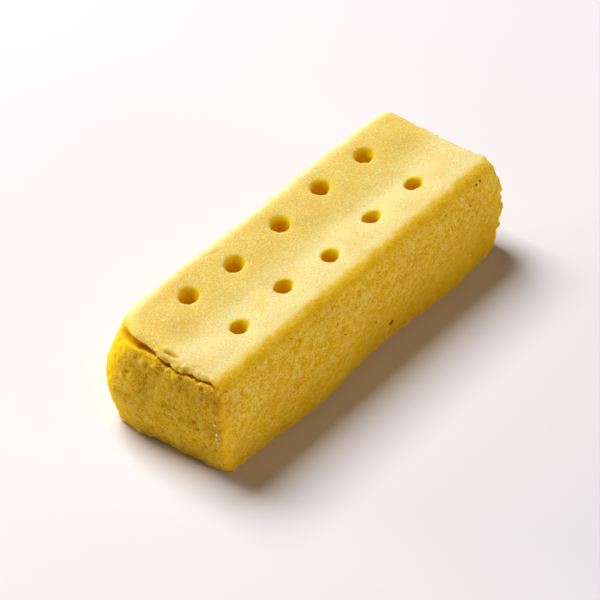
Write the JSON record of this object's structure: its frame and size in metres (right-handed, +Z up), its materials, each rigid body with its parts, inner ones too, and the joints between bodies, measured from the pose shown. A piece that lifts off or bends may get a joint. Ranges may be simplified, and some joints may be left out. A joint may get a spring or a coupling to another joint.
{
  "type": "nutrition biscuit bar",
  "caption": "Finger-shaped baked biscuit bar of short, sandy dough with rows of docking holes in its top and a crumbly crack along one end's top edge.",
  "frame": {"origin": "middle of the base, on the surface the bar lies on", "axes": "+Z up, +X along the bar away from the cracked end, +Y towards the bar's left flank"},
  "size_m": [0.0764, 0.0276, 0.0198],
  "materials": {
    "biscuit": "matte, baked and sandy"
  },
  "bodies": {
    "root": {"biscuit": "biscuit"}
  },
  "joints": []
}
